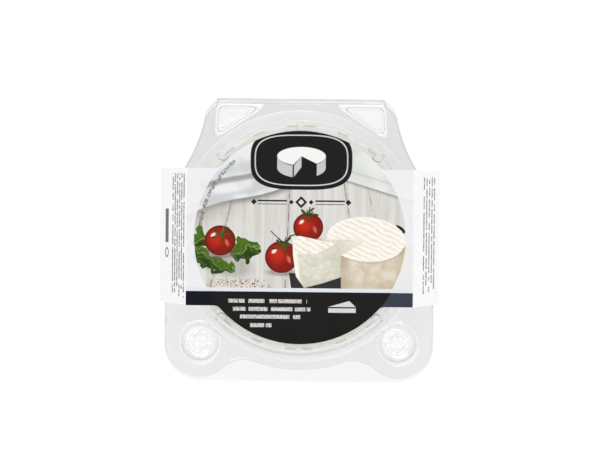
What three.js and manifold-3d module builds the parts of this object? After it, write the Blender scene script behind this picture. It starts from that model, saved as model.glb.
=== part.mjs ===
// A small soft cheese wheel in a clear thermoformed hinged case, held shut by a card sleeve.
// Millimetres, +Z up. The case lies flat on its tray, and its hinge edge faces +Y.
import * as THREE from "three";
import { mergeVertices } from "three/addons/utils/BufferGeometryUtils.js";
import Module from "manifold-3d";

const wasm = await Module();
wasm.setup();

// ---- Whole pack ----
const PACK_HEIGHT = 35.5;
const MID_Z = PACK_HEIGHT / 2; // parting plane between tray and lid
const AXIS_Y = 1.5; // the round pocket's axis, so that the pack's outline is centred on the origin
const AXIS_SEGMENTS = 72;

// ---- Thermoformed case: both halves are drawn upwards from the parting plane ----
const WALL = 0.5;
const HALF_GAP = 0.05; // from the parting plane to each flange
const FLANGE_TOP = HALF_GAP + WALL;
const POCKET_DEPTH = 15.75; // parting plane to the outside of the flat top
const POCKET_FOOT_R = 46.5; // outside radius where the wall meets the flange
const POCKET_WALL_R = 42.8; // outside radius where the wall meets the shoulder
const SHOULDER_R = 5.5;
const RIDGE_TOP = MID_Z; // crescents: feet under the tray, stacking ridges on the lid
const RIDGE_INNER_R = 40.4;
const RIDGE_OUTER_R = 43.1;
const RIDGE_HALF_ANGLE = THREE.MathUtils.degToRad(44);
const RIDGE_FOOT = 8; // ridges start inside the wall at this height

// ---- Flange outline, half of it, measured from the pocket's axis ----
const HINGE_HALF_LENGTH = 31.4;
const HINGE_Y = 51.4;
const HINGE_CLEARANCE = 0.1;
const FLANGE_BACK_Y = HINGE_Y - FLANGE_TOP - HINGE_CLEARANCE;
const TRAY_CORNER = new THREE.Vector2(35.6, 47.9); // control point of the rounded hinge corner
const LID_CORNER = new THREE.Vector2(34.9, 46.6);
const LID_NOTCH = new THREE.Vector2(31.7, 48.9); // where the lid's corner leaves the hinge's end
const FLARE_START = new THREE.Vector2(36.2, 43.6);
const FLARE_R = 57;
const FLARE_FROM = THREE.MathUtils.degToRad(12); // off the vertical
const FLARE_TO = THREE.MathUtils.degToRad(36);
const SIDE_X = 50.5;
const FRONT_Y = -54.4;
const FRONT_CORNER_R = 14;
const LID_INSET = 0.4; // the lid's flange is this much smaller along the flanks

// ---- Snap studs at the front corners ----
const STUD = new THREE.Vector2(37.1, -40);
const STUD_LOBE_R = SIDE_X - LID_INSET - STUD.x;
const FRONT_LOBE_R = 50; // middle of the lid's front edge, about the pocket's axis
const LOBE_FILLET_R = 12;
const STUD_MOUTH_R = 6.55;
const STUD_FLOOR_R = 4.7;
const STUD_DRAFT = 0.25;
const STUD_DEPTH = 3; // below the parting plane, inside the lid's stud
const STUD_CLEARANCE = 0.2;
const STUD_FLOOR_CLEARANCE = 0.15;

// ---- Triangular bosses at the hinge corners ----
const BOSS_CORNERS = [
  new THREE.Vector2(31.4, 49),
  new THREE.Vector2(32, 36.6),
  new THREE.Vector2(12.9, 49),
];
const BOSS_ROUNDING = 2;
const BOSS_HEIGHT = 1.75;

// ---- Cheese ----
const CHEESE_HEIGHT = 30;
const CHEESE_BASE_Z = 2.6;
const CHEESE_R = 43;
const CHEESE_TOP_R = 41.9; // where the side meets the rounded edge
const CHEESE_EDGE_R = 5.2;

// ---- Card sleeve: a six-sided band round the case, with a disc on its front and back ----
const CARD = 0.4;
const SLEEVE_HALF_HEIGHT = 16.35; // parting plane to the outside of the front panel
const SLEEVE_FOLD_X = 41.1;
const SLEEVE_SIDE_X = 52.4;
const STRAP_HALF_WIDTH = 25;
const DISC_R = 38.8;

// ---- Solids ----
function toSolid(geometry) {
  geometry.deleteAttribute("normal");
  geometry.deleteAttribute("uv");
  const merged = mergeVertices(geometry, 1e-4);
  const mesh = new wasm.Mesh({
    numProp: 3,
    vertProperties: merged.getAttribute("position").array,
    triVerts: new Uint32Array(merged.index.array),
  });
  return new wasm.Manifold(mesh);
}

function toMesh(name, solid, material) {
  const { vertProperties, triVerts } = solid.getMesh();
  const geometry = new THREE.BufferGeometry();
  geometry.setAttribute("position", new THREE.BufferAttribute(vertProperties, 3));
  geometry.setIndex(new THREE.BufferAttribute(triVerts, 1));
  geometry.computeVertexNormals();
  const mesh = new THREE.Mesh(geometry, material);
  mesh.name = name;
  return mesh;
}

function extruded(shape, fromZ, toZ, curveSegments = 12) {
  const geometry = new THREE.ExtrudeGeometry(shape, {
    depth: toZ - fromZ,
    bevelEnabled: false,
    curveSegments,
  });
  return toSolid(geometry.translate(0, 0, fromZ));
}

// A profile of (radius, height) points turned about the Z axis.
function turned(profile, segments = AXIS_SEGMENTS) {
  return toSolid(new THREE.LatheGeometry(profile, segments).rotateX(Math.PI / 2));
}

function arcPoints(centreX, centreY, radius, from, to, divisions) {
  const points = [];
  for (let i = 0; i <= divisions; i++) {
    const angle = from + ((to - from) * i) / divisions;
    points.push(
      new THREE.Vector2(centreX + radius * Math.cos(angle), centreY + radius * Math.sin(angle)),
    );
  }
  return points;
}

// A closed outline from its right half, which runs from the +Y end of the Y axis to the -Y end.
function mirroredShape(halfPath, divisions) {
  const right = halfPath.getPoints(divisions);
  const left = right
    .slice(1, -1)
    .reverse()
    .map((p) => new THREE.Vector2(-p.x, p.y));
  return new THREE.Shape([...right, ...left]);
}

// ---- Flange outlines ----
function addFlank(path, inset) {
  const radius = FLARE_R + inset;
  const centreX = FLARE_START.x + FLARE_R * Math.cos(FLARE_FROM);
  const centreY = FLARE_START.y + FLARE_R * Math.sin(FLARE_FROM);
  path.absarc(centreX, centreY, radius, Math.PI + FLARE_FROM, Math.PI + FLARE_TO, false);
  const sideX = SIDE_X - inset;
  const endX = centreX - radius * Math.cos(FLARE_TO);
  const endY = centreY - radius * Math.sin(FLARE_TO);
  const turnR = (sideX - endX) / (1 - Math.cos(FLARE_TO));
  path.absarc(sideX - turnR, endY - turnR * Math.sin(FLARE_TO), turnR, FLARE_TO, 0, true);
}

function trayOutline() {
  const half = new THREE.Path();
  half.moveTo(0, FLANGE_BACK_Y);
  half.lineTo(HINGE_HALF_LENGTH, FLANGE_BACK_Y);
  half.quadraticCurveTo(TRAY_CORNER.x, TRAY_CORNER.y, FLARE_START.x, FLARE_START.y);
  addFlank(half, 0);
  const cornerX = SIDE_X - FRONT_CORNER_R;
  const cornerY = FRONT_Y + FRONT_CORNER_R;
  half.absarc(cornerX, cornerY, FRONT_CORNER_R, 0, -Math.PI / 2, true);
  half.lineTo(0, FRONT_Y);
  return mirroredShape(half, 5);
}

// The centre of the circle that touches the stud's lobe and the front lobe from outside.
function lobeFilletCentre() {
  const toStud = STUD_LOBE_R + LOBE_FILLET_R;
  const toAxis = FRONT_LOBE_R + LOBE_FILLET_R;
  const apart = STUD.length();
  const along = (apart ** 2 + toAxis ** 2 - toStud ** 2) / (2 * apart);
  const across = Math.sqrt(toAxis ** 2 - along ** 2);
  const unit = STUD.clone().normalize();
  return new THREE.Vector2(
    unit.x * along + unit.y * across,
    unit.y * along - unit.x * across,
  );
}

function lidOutline() {
  const half = new THREE.Path();
  half.moveTo(0, FLANGE_BACK_Y);
  half.lineTo(HINGE_HALF_LENGTH, FLANGE_BACK_Y);
  half.lineTo(LID_NOTCH.x, LID_NOTCH.y);
  half.quadraticCurveTo(LID_CORNER.x, LID_CORNER.y, FLARE_START.x - LID_INSET, FLARE_START.y);
  addFlank(half, LID_INSET);
  const fillet = lobeFilletCentre();
  const studToFillet = fillet.clone().sub(STUD);
  const studAngle = Math.atan2(studToFillet.y, studToFillet.x);
  const axisAngle = Math.atan2(fillet.y, fillet.x);
  half.absarc(STUD.x, STUD.y, STUD_LOBE_R, 0, studAngle, true);
  half.absarc(fillet.x, fillet.y, LOBE_FILLET_R, studAngle + Math.PI, axisAngle + Math.PI, false);
  half.absarc(0, 0, FRONT_LOBE_R, axisAngle, -Math.PI / 2, true);
  return mirroredShape(half, 5);
}

// ---- Case features, drawn upwards from the parting plane; inset gives the inside surface ----
function pocket(inset, footZ) {
  const shoulderX = POCKET_WALL_R - SHOULDER_R;
  const shoulderZ = POCKET_DEPTH - SHOULDER_R;
  const profile = [
    new THREE.Vector2(0, footZ),
    new THREE.Vector2(POCKET_FOOT_R - inset, footZ),
    new THREE.Vector2(POCKET_FOOT_R - inset, FLANGE_TOP),
    ...arcPoints(shoulderX, shoulderZ, SHOULDER_R - inset, 0, Math.PI / 2, 5),
    new THREE.Vector2(0, POCKET_DEPTH - inset),
  ];
  return turned(profile);
}

// A crescent centred on the +Y side of the axis, or on the -Y side.
function ridge(inset, side) {
  const inner = RIDGE_INNER_R + inset;
  const outer = RIDGE_OUTER_R - inset;
  const middle = (inner + outer) / 2;
  const capR = (outer - inner) / 2;
  const start = (side * Math.PI) / 2 - RIDGE_HALF_ANGLE;
  const end = (side * Math.PI) / 2 + RIDGE_HALF_ANGLE;
  const cap = (angle, from) =>
    arcPoints(middle * Math.cos(angle), middle * Math.sin(angle), capR, from, from + Math.PI, 6);
  const outline = [
    ...arcPoints(0, 0, outer, start, end, 20),
    ...cap(end, end).slice(1, -1),
    ...arcPoints(0, 0, inner, end, start, 20),
    ...cap(start, start - Math.PI).slice(1, -1),
  ];
  return extruded(new THREE.Shape(outline), RIDGE_FOOT, RIDGE_TOP - inset);
}

// A triangle moved inwards by inset along every side, with rounded corners.
function bossShape(inset, side) {
  const [a, b, c] = BOSS_CORNERS;
  const lengths = [b.distanceTo(c), c.distanceTo(a), a.distanceTo(b)];
  const perimeter = lengths[0] + lengths[1] + lengths[2];
  const centre = new THREE.Vector2();
  BOSS_CORNERS.forEach((corner, i) => centre.addScaledVector(corner, lengths[i] / perimeter));
  const area = Math.abs((b.x - a.x) * (c.y - a.y) - (c.x - a.x) * (b.y - a.y)) / 2;
  const inradius = (2 * area) / perimeter;
  const shrink = 1 - inset / inradius;
  const corners = BOSS_CORNERS.map((corner) =>
    corner.clone().sub(centre).multiplyScalar(shrink).add(centre),
  );
  const shape = new THREE.Shape();
  corners.forEach((corner, i) => {
    const before = corners[(i + 2) % 3].clone().sub(corner).normalize();
    const after = corners[(i + 1) % 3].clone().sub(corner).normalize();
    const reach = (BOSS_ROUNDING - inset) / Math.tan(Math.acos(before.dot(after)) / 2);
    const enter = corner.clone().addScaledVector(before, reach);
    const leave = corner.clone().addScaledVector(after, reach);
    if (i === 0) {
      shape.moveTo(side * enter.x, enter.y);
    } else {
      shape.lineTo(side * enter.x, enter.y);
    }
    shape.quadraticCurveTo(side * corner.x, corner.y, side * leave.x, leave.y);
  });
  shape.closePath();
  return shape;
}

// A stud's cup from its mouth at fromZ to its floor at floorZ, grown outwards by grow.
function studCup(grow, fromZ, floorZ, side) {
  const down = Math.sign(floorZ - fromZ);
  const mouthR = STUD_MOUTH_R + grow;
  const wallR = mouthR - STUD_DRAFT;
  const filletR = wallR - STUD_FLOOR_R;
  const fillet = arcPoints(STUD_FLOOR_R, 0, filletR, 0, Math.PI / 2, 3).map(
    (p) => new THREE.Vector2(p.x, floorZ - down * (filletR - p.y)),
  );
  const profile = [
    new THREE.Vector2(0, fromZ),
    new THREE.Vector2(mouthR, fromZ),
    ...fillet,
    new THREE.Vector2(0, floorZ),
  ];
  if (down < 0) {
    profile.reverse();
  }
  return turned(profile, 32).translate([side * STUD.x, STUD.y, 0]);
}

// One half of the case. The studs point down on both halves, so they go through the lid's
// parting plane and away from the tray's.
function caseHalf(outline, stud) {
  let outside = extruded(outline, HALF_GAP, FLANGE_TOP).add(pocket(0, HALF_GAP));
  let inside = pocket(WALL, -1);
  for (const side of [-1, 1]) {
    outside = outside.add(ridge(0, side));
    inside = inside.add(ridge(WALL, side));
    outside = outside.add(extruded(bossShape(0, side), HALF_GAP, BOSS_HEIGHT, 3));
    inside = inside.add(extruded(bossShape(WALL, side), -1, BOSS_HEIGHT - WALL, 3));
    outside = outside.add(studCup(stud.grow + WALL, stud.rim, stud.outerFloor, side));
    inside = inside.add(studCup(stud.grow, stud.mouth, stud.innerFloor, side));
  }
  return outside.subtract(inside);
}

function lidSolid() {
  return caseHalf(lidOutline(), {
    grow: 0,
    mouth: FLANGE_TOP + 1,
    rim: FLANGE_TOP,
    innerFloor: -STUD_DEPTH,
    outerFloor: -STUD_DEPTH - WALL,
  });
}

function traySolid() {
  const innerFloor = STUD_DEPTH + WALL + STUD_FLOOR_CLEARANCE;
  return caseHalf(trayOutline(), {
    grow: WALL + STUD_CLEARANCE,
    mouth: -1,
    rim: HALF_GAP,
    innerFloor,
    outerFloor: innerFloor + WALL,
  });
}

// The folded strip that joins the two flanges: a half-round bead with a slit in it.
function hingeSolid() {
  const outerR = FLANGE_TOP;
  const section = new THREE.Shape([
    ...arcPoints(0, 0, outerR, -Math.PI / 2, Math.PI / 2, 8),
    ...arcPoints(0, 0, HALF_GAP, Math.PI / 2, -Math.PI / 2, 4),
  ]);
  const geometry = new THREE.ExtrudeGeometry(section, {
    depth: 2 * HINGE_HALF_LENGTH,
    bevelEnabled: false,
  });
  geometry.rotateX(Math.PI / 2).rotateZ(Math.PI / 2);
  geometry.translate(-HINGE_HALF_LENGTH, HINGE_Y - outerR, 0);
  return toSolid(geometry);
}

function cheeseSolid() {
  const edgeX = CHEESE_TOP_R - CHEESE_EDGE_R;
  const half = CHEESE_HEIGHT / 2;
  const edgeZ = half - CHEESE_EDGE_R;
  const bulge = CHEESE_R - CHEESE_TOP_R;
  const sideHeights = [-0.6, -0.2, 0.2, 0.6];
  const side = sideHeights.map(
    (t) => new THREE.Vector2(CHEESE_TOP_R + bulge * (1 - t * t), t * edgeZ),
  );
  const profile = [
    new THREE.Vector2(0, -half),
    ...arcPoints(edgeX, -edgeZ, CHEESE_EDGE_R, -Math.PI / 2, 0, 5),
    ...side,
    ...arcPoints(edgeX, edgeZ, CHEESE_EDGE_R, 0, Math.PI / 2, 5),
    new THREE.Vector2(0, half),
  ];
  return turned(profile);
}

// The band's section: a flat hexagon, moved inwards by inset along every side.
function sleeveSection(inset) {
  const rise = Math.atan2(SLEEVE_HALF_HEIGHT, SLEEVE_SIDE_X - SLEEVE_FOLD_X);
  const sideX = SLEEVE_SIDE_X - inset / Math.sin(rise);
  const top = SLEEVE_HALF_HEIGHT - inset;
  const foldX = sideX - top / Math.tan(rise);
  return [
    new THREE.Vector2(sideX, 0),
    new THREE.Vector2(foldX, top),
    new THREE.Vector2(-foldX, top),
    new THREE.Vector2(-sideX, 0),
    new THREE.Vector2(-foldX, -top),
    new THREE.Vector2(foldX, -top),
  ];
}

function sleeveSolid() {
  const section = new THREE.Shape(sleeveSection(0));
  section.holes.push(new THREE.Path(sleeveSection(CARD)));
  const geometry = new THREE.ExtrudeGeometry(section, {
    depth: 2 * STRAP_HALF_WIDTH,
    bevelEnabled: false,
  });
  geometry.rotateX(Math.PI / 2).translate(0, STRAP_HALF_WIDTH, 0);
  let sleeve = toSolid(geometry);
  for (const side of [-1, 1]) {
    const disc = new THREE.CylinderGeometry(DISC_R, DISC_R, CARD, AXIS_SEGMENTS);
    disc.rotateX(Math.PI / 2).translate(0, 0, side * (SLEEVE_HALF_HEIGHT - CARD / 2));
    sleeve = sleeve.add(toSolid(disc));
  }
  return sleeve;
}

// ---- Materials ----
const rind = new THREE.MeshStandardMaterial({ color: 0xf3ead9, roughness: 0.85, metalness: 0 });
const card = new THREE.MeshStandardMaterial({ color: 0xf0eff0, roughness: 0.55, metalness: 0 });

function clearPlastic() {
  return new THREE.MeshStandardMaterial({
    color: 0xe9eced,
    roughness: 0.08,
    metalness: 0,
    transparent: true,
    opacity: 0.35,
  });
}

// ---- Assembly ----
const cheese = toMesh("cheese_wheel", cheeseSolid(), rind);
cheese.position.z = CHEESE_BASE_Z + CHEESE_HEIGHT / 2;

const lid = toMesh("lid", lidSolid(), clearPlastic());
lid.position.z = MID_Z;

const tray = toMesh("tray", traySolid(), clearPlastic());
tray.position.z = MID_Z;
tray.scale.z = -1; // the tray is drawn upwards and hangs down

const hinge = toMesh("live_hinge", hingeSolid(), clearPlastic());
hinge.position.z = MID_Z;

const sleeve = toMesh("card_sleeve", sleeveSolid(), card);
sleeve.position.z = MID_Z;

const pack = new THREE.Group();
pack.position.y = AXIS_Y;
pack.add(cheese, tray, lid, hinge, sleeve);

const root = new THREE.Group();
root.add(pack);

export default root;
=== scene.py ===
"""A small soft cheese wheel in a clear hinged case with a printed card sleeve.

Meshes are worked out in millimetres round the pocket's axis, with heights from the parting plane
between tray and lid, and are moved into the frame, in metres, when each object is made.
"""
import math

import bmesh
import bpy
import numpy as np
from mathutils import Matrix, Vector, noise
from mathutils.geometry import delaunay_2d_cdt


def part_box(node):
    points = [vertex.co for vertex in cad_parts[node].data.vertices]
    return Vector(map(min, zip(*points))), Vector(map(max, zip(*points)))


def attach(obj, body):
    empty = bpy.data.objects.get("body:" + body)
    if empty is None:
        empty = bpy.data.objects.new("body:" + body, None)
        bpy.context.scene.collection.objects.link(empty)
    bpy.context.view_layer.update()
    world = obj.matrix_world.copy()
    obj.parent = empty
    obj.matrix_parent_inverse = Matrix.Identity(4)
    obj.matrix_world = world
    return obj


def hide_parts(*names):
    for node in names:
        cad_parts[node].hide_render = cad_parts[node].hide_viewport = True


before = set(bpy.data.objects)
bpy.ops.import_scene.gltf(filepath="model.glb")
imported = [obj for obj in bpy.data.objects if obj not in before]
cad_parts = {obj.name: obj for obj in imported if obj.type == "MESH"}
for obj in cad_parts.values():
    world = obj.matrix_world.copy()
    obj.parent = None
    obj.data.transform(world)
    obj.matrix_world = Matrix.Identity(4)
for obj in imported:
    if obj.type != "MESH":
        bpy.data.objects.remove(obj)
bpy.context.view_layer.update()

MM = 0.001
(_, LID_HIGH), (TRAY_LOW, TRAY_HIGH), (HINGE_LOW, HINGE_HIGH), (CHEESE_LOW, CHEESE_HIGH), (
    CARD_LOW, CARD_HIGH) = (
    [Vector(corner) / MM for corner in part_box(node)]
    for node in ("lid", "tray", "live_hinge", "cheese_wheel", "card_sleeve"))

# ---- Driving sizes, mm ----
AXIS_Y = (CHEESE_LOW.y + CHEESE_HIGH.y) / 2
MID_Z = (HINGE_LOW.z + HINGE_HIGH.z) / 2
WALL = 0.5
HALF_GAP = 0.05
FLANGE_TOP = HALF_GAP + WALL
RIDGE_TOP = LID_HIGH.z - MID_Z
PLATEAU = RIDGE_TOP - 2.0
FOOT_R = 46.5
WALL_SLOPE = 2.62
SHOULDER_R = 5.5
SHOULDER_START = 36.9
RIDGE_INNER_R = 39.4
RIDGE_OUTER_R = 42.9
RIDGE_EDGE_R = 0.7
RIDGE_WALL_SLOPE = 19.9
RIDGE_END = math.radians(45.8)
RIDGE_CORNER_R = 1.8
SLOT_R, SLOT_HALF_WIDTH, SLOT_HALF_LENGTH, SLOT_DEPTH = 40.6, 0.22, 2.0, 0.35
SLOT_FIRST, SLOT_PITCH = math.radians(4.4), math.radians(17.6)
FOOT_BLEND, STUD_BLEND = 1.5, 1.6
DOME_EDGE_R = 47.4

HINGE_HALF = (HINGE_HIGH.x - HINGE_LOW.x) / 2
HINGE_Y = HINGE_HIGH.y - AXIS_Y
BACK_Y = LID_HIGH.y - AXIS_Y
FRONT_Y = TRAY_LOW.y - AXIS_Y
SIDE_X = TRAY_HIGH.x
FRONT_CORNER_R = 14.0
FLARE_START = Vector((36.2, 43.6))
FLARE_R = 57.0
FLARE_FROM, FLARE_TO = math.radians(12), math.radians(36)
LID_INSET = SIDE_X - LID_HIGH.x

STUD = Vector((37.1, -40.0))
STUD_LOBE_R = LID_HIGH.x - STUD.x
STUD_LIP_R, STUD_MOUTH_R, STUD_FLOOR_R, STUD_OUTER_R = 7.6, 6.6, 4.7, 9.3
FRONT_LOBE_R = 50.0
LOBE_FILLET_R = 12.0
BOSS_CORNERS = (Vector((31.4, 49.0)), Vector((32.0, 36.6)), Vector((12.9, 49.0)))
BOSS_ROUNDING = 2.0
BOSS_HEIGHT = 1.2

CARD = 0.4
FRONT_Z = CARD_HIGH.z - MID_Z
FOLD_X = 41.1
CARD_SIDE_X = CARD_HIGH.x
STRAP_HALF = 25.0
DISC_R = (CARD_HIGH.y - CARD_LOW.y) / 2


# ---- Small maths ----
def smooth_min(a, b, k):
    return np.minimum(a, b) - np.maximum(k - np.abs(a - b), 0) ** 2 / (4 * k)


def smooth_max(a, b, k):
    return -smooth_min(-a, -b, k)


def step(x, low, high):
    t = np.clip((x - low) / (high - low), 0, 1)
    return t * t * (3 - 2 * t)


def arc(centre, radius, start, end, count):
    """Points on an arc, both ends included."""
    angles = np.linspace(start, end, count)
    return [
        (centre[0] + radius * math.cos(a), centre[1] + radius * math.sin(a)) for a in angles
    ]


def curve_through(a, control, b, count):
    """Points on a quadratic curve from a to b."""
    points = []
    for t in np.linspace(0, 1, count):
        p = Vector(a) * (1 - t) ** 2 + Vector(control) * 2 * t * (1 - t) + Vector(b) * t * t
        points.append((p.x, p.y))
    return points


def densify(points, spacing):
    """A closed outline with its long edges split."""
    out = []
    for i, a in enumerate(points):
        b = points[(i + 1) % len(points)]
        count = max(1, math.ceil(math.dist(a, b) / spacing))
        for j in range(count):
            t = j / count
            out.append((a[0] + (b[0] - a[0]) * t, a[1] + (b[1] - a[1]) * t))
    return out


def polygon_distance(points, polygon):
    """Signed distance from points (n, 2) to a closed polygon, negative inside."""
    nearest = np.full(len(points), np.inf)
    inside = np.zeros(len(points), bool)
    x, y = points[:, 0], points[:, 1]
    for i, a in enumerate(polygon):
        b = polygon[(i + 1) % len(polygon)]
        ex, ey = b[0] - a[0], b[1] - a[1]
        t = np.clip(((x - a[0]) * ex + (y - a[1]) * ey) / (ex * ex + ey * ey), 0, 1)
        nearest = np.minimum(nearest, np.hypot(x - a[0] - t * ex, y - a[1] - t * ey))
        crosses = ((a[1] > y) != (b[1] > y)) & (x < ex * (y - a[1]) / (ey or 1e-12) + a[0])
        inside ^= crosses
    return np.where(inside, -nearest, nearest)


def mirrored(right):
    """A closed outline from its right half, given from the +Y end to the -Y end."""
    left = [(-x, y) for x, y in reversed(right) if x > 1e-6]
    return right + left


# ---- Making objects ----
def put(name, data):
    """A new object in the scene."""
    piece = bpy.data.objects.new(name, data)
    bpy.context.scene.collection.objects.link(piece)
    return piece


def ring_faces(rows, around, first=0):
    """Quads between rows of a closed ring of points."""
    faces = []
    for i in range(rows - 1):
        a, b = first + i * around, first + (i + 1) * around
        for j in range(around):
            k = (j + 1) % around
            faces.append((a + j, b + j, b + k, a + k))
    return faces


def fill(points, edges, outline, ring=None):
    """Plan points, and upward triangles inside an outline and outside a ring within it."""
    plan, _, triangles, *_ = delaunay_2d_cdt([Vector(p) for p in points], edges, [], 0, 1e-6)
    xy = np.array([(p.x, p.y) for p in plan])
    centres = np.array([xy[list(t)].mean(0) for t in triangles])
    inside = polygon_distance(centres, outline) < 0
    if ring:
        inside &= polygon_distance(centres, ring) > 0
    faces = []
    for t, ok in zip(triangles, inside):
        if ok:
            a, b, c = xy[list(t)]
            turn = (b[0] - a[0]) * (c[1] - a[1]) - (b[1] - a[1]) * (c[0] - a[0])
            faces.append(tuple(t) if turn > 0 else tuple(reversed(t)))
    return xy, faces


def make_object(name, verts, faces, materials, flip_z=False):
    """Verts in mm about the pocket's axis and the parting plane; returns a smooth-shaded object."""
    coords = np.asarray(verts, float)
    if flip_z:
        coords = coords * (1, 1, -1)
        faces = [tuple(reversed(f)) for f in faces]
    coords = (coords + (0, AXIS_Y, MID_Z)) * MM
    mesh = bpy.data.meshes.new(name)
    mesh.from_pydata(coords.tolist(), [], faces)
    work = bmesh.new()
    work.from_mesh(mesh)
    bmesh.ops.remove_doubles(work, verts=work.verts, dist=1e-7)
    bmesh.ops.dissolve_degenerate(work, dist=1e-8, edges=work.edges)
    work.to_mesh(mesh)
    work.free()
    mesh.shade_smooth()
    piece = put(name, mesh)
    for material in materials:
        mesh.materials.append(material)
    return piece


def thicken(piece, thickness, inside_slot=0, rim_slot=0):
    """Gives a sheet its thickness on the side away from its normals."""
    solid = piece.modifiers.new("thickness", "SOLIDIFY")
    solid.thickness = thickness * MM
    solid.offset = -1
    solid.material_offset = inside_slot
    solid.material_offset_rim = rim_slot
    bpy.context.view_layer.update()
    seen = piece.evaluated_get(bpy.context.evaluated_depsgraph_get())
    made = bpy.data.meshes.new_from_object(seen)
    piece.modifiers.clear()
    piece.data = made
    made.set_sharp_from_angle(angle=math.radians(50))
    return piece


# ---- Case: outlines ----
def flank(inset, count=16):
    """From the hinge corner down to the straight side, on the right."""
    radius = FLARE_R + inset
    centre_x = FLARE_START.x + FLARE_R * math.cos(FLARE_FROM)
    centre_y = FLARE_START.y + FLARE_R * math.sin(FLARE_FROM)
    side_x = SIDE_X - inset
    end_x = centre_x - radius * math.cos(FLARE_TO)
    end_y = centre_y - radius * math.sin(FLARE_TO)
    turn_r = (side_x - end_x) / (1 - math.cos(FLARE_TO))
    turn_centre = (side_x - turn_r, end_y - turn_r * math.sin(FLARE_TO))
    flare = arc((centre_x, centre_y), radius, math.pi + FLARE_FROM, math.pi + FLARE_TO, count)
    return flare + arc(turn_centre, turn_r, FLARE_TO, 0, count)[1:]


def tray_outline():
    right = [(0, BACK_Y)]
    right += curve_through((HINGE_HALF, BACK_Y), (35.6, 47.9), FLARE_START, 10)[:-1]
    right += flank(0)
    corner = (SIDE_X - FRONT_CORNER_R, FRONT_Y + FRONT_CORNER_R)
    right += arc(corner, FRONT_CORNER_R, 0, -math.pi / 2, 24)
    right.append((0, FRONT_Y))
    return mirrored(right)


def lid_outline():
    to_stud, to_axis = STUD_LOBE_R + LOBE_FILLET_R, FRONT_LOBE_R + LOBE_FILLET_R
    apart = STUD.length
    along = (apart**2 + to_axis**2 - to_stud**2) / (2 * apart)
    across = math.sqrt(to_axis**2 - along**2)
    unit = STUD.normalized()
    fillet = Vector((unit.x * along + unit.y * across, unit.y * along - unit.x * across))
    stud_angle = math.atan2(fillet.y - STUD.y, fillet.x - STUD.x)
    axis_angle = math.atan2(fillet.y, fillet.x)
    right = [(0, BACK_Y), (HINGE_HALF, BACK_Y)]
    flare_start = (FLARE_START.x - LID_INSET, FLARE_START.y)
    right += curve_through((HINGE_HALF + 0.3, 48.9), (34.9, 46.6), flare_start, 10)[:-1]
    right += flank(LID_INSET)
    right += arc(STUD, STUD_LOBE_R, 0, stud_angle, 28)[1:]
    right += arc(fillet, LOBE_FILLET_R, stud_angle + math.pi, axis_angle + math.pi, 14)[1:]
    right += arc((0, 0), FRONT_LOBE_R, axis_angle, -math.pi / 2, 12)[1:]
    return mirrored(right)


# ---- Case: the round pocket, a height over radius and angle ----
def pocket_height(r, phi):
    """Outside height above the parting plane; phi is the angle from the nearer +Y or -Y axis."""
    wall = FLANGE_TOP + (FOOT_R - r) * WALL_SLOPE
    turn = math.atan(WALL_SLOPE)
    shoulder_end = SHOULDER_START + SHOULDER_R * math.sin(turn)
    lean = np.clip(r - SHOULDER_START, 0, SHOULDER_R)
    shoulder = PLATEAU - SHOULDER_R + np.sqrt(SHOULDER_R**2 - lean**2)
    strap_side = np.where(r < SHOULDER_START, PLATEAU, np.where(r < shoulder_end, shoulder, wall))

    ahead = (RIDGE_END - phi) * RIDGE_OUTER_R
    across = np.minimum(r - RIDGE_INNER_R, RIDGE_OUTER_R + 0.2 - r + 3 * np.maximum(ahead - 1.8, 0))
    qx = np.maximum(RIDGE_CORNER_R - ahead, 0)
    qy = np.maximum(RIDGE_CORNER_R - across, 0)
    rim = np.minimum(np.maximum(RIDGE_CORNER_R - ahead, RIDGE_CORNER_R - across), 0)
    inside = RIDGE_CORNER_R - np.hypot(qx, qy) - rim
    top = PLATEAU + (RIDGE_TOP - PLATEAU) * step(inside, -0.1, 0.55)
    from_slot = np.abs(np.mod(phi - SLOT_FIRST + SLOT_PITCH / 2, SLOT_PITCH) - SLOT_PITCH / 2) * SLOT_R
    slot = step(from_slot, SLOT_HALF_LENGTH + 0.15, SLOT_HALF_LENGTH - 0.15)
    slot *= step(np.abs(r - SLOT_R), SLOT_HALF_WIDTH + 0.1, SLOT_HALF_WIDTH - 0.1)
    top -= SLOT_DEPTH * slot
    edge = RIDGE_OUTER_R - RIDGE_EDGE_R
    lean = np.clip(r - edge, 0, RIDGE_EDGE_R)
    rounded = RIDGE_TOP - RIDGE_EDGE_R + np.sqrt(RIDGE_EDGE_R**2 - lean**2)
    upright = RIDGE_TOP - RIDGE_EDGE_R - (r - RIDGE_OUTER_R) * RIDGE_WALL_SLOPE
    outer = np.where(r < RIDGE_OUTER_R, rounded, smooth_max(upright, wall, 0.8))
    ridge_side = smooth_min(top, outer, 0.15)

    share = step(ahead, -1.5, 1.0)
    return strap_side + (ridge_side - strap_side) * share


def sheet_height(xy, stud_profile):
    """Outside height of a case half at plan points (n, 2)."""
    x, y = xy[:, 0], xy[:, 1]
    angle = np.arctan2(y, x)
    phi = np.abs(np.mod(angle, math.pi) - math.pi / 2)
    from_stud = np.hypot(np.abs(x) - STUD.x, y - STUD.y)
    blend = FOOT_BLEND + STUD_BLEND * step(from_stud, 11, 8.5)
    return smooth_max(pocket_height(np.hypot(x, y), phi), flange_height(xy, stud_profile), blend)


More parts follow.
